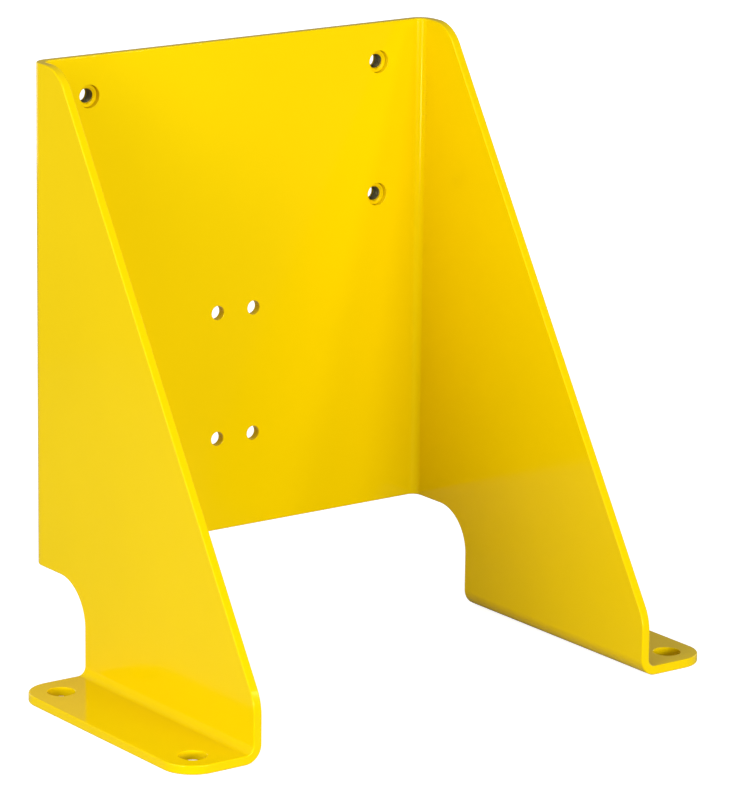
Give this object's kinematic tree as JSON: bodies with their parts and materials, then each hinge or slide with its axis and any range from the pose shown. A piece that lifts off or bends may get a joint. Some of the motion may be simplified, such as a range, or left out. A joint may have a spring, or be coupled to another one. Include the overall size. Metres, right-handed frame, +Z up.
{
  "type": "folded steel floor bracket",
  "caption": "Floor-standing bracket folded from one yellow steel plate: open front, sloping side walls, feet with anchor holes and press-in nuts in its back wall.",
  "frame": {"origin": "on the floor under the middle of the bracket's box, the press-in nuts behind the back wall included", "axes": "+Z up; the open front faces -Y and the back wall stands on the +Y side; the feet point outwards along -X and +X"},
  "size_m": [0.291, 0.1838, 0.277],
  "materials": {
    "powder_coat": "smooth semi-gloss safety yellow powder coat",
    "nut_steel": "dull zinc-plated steel thread, body powder coated with the plate"
  },
  "bodies": {
    "root": {"folded_plate": "powder_coat", "press_nut_lower_left": "nut_steel", "press_nut_lower_right": "nut_steel", "press_nut_upper_left": "nut_steel", "press_nut_upper_right": "nut_steel"}
  },
  "joints": []
}
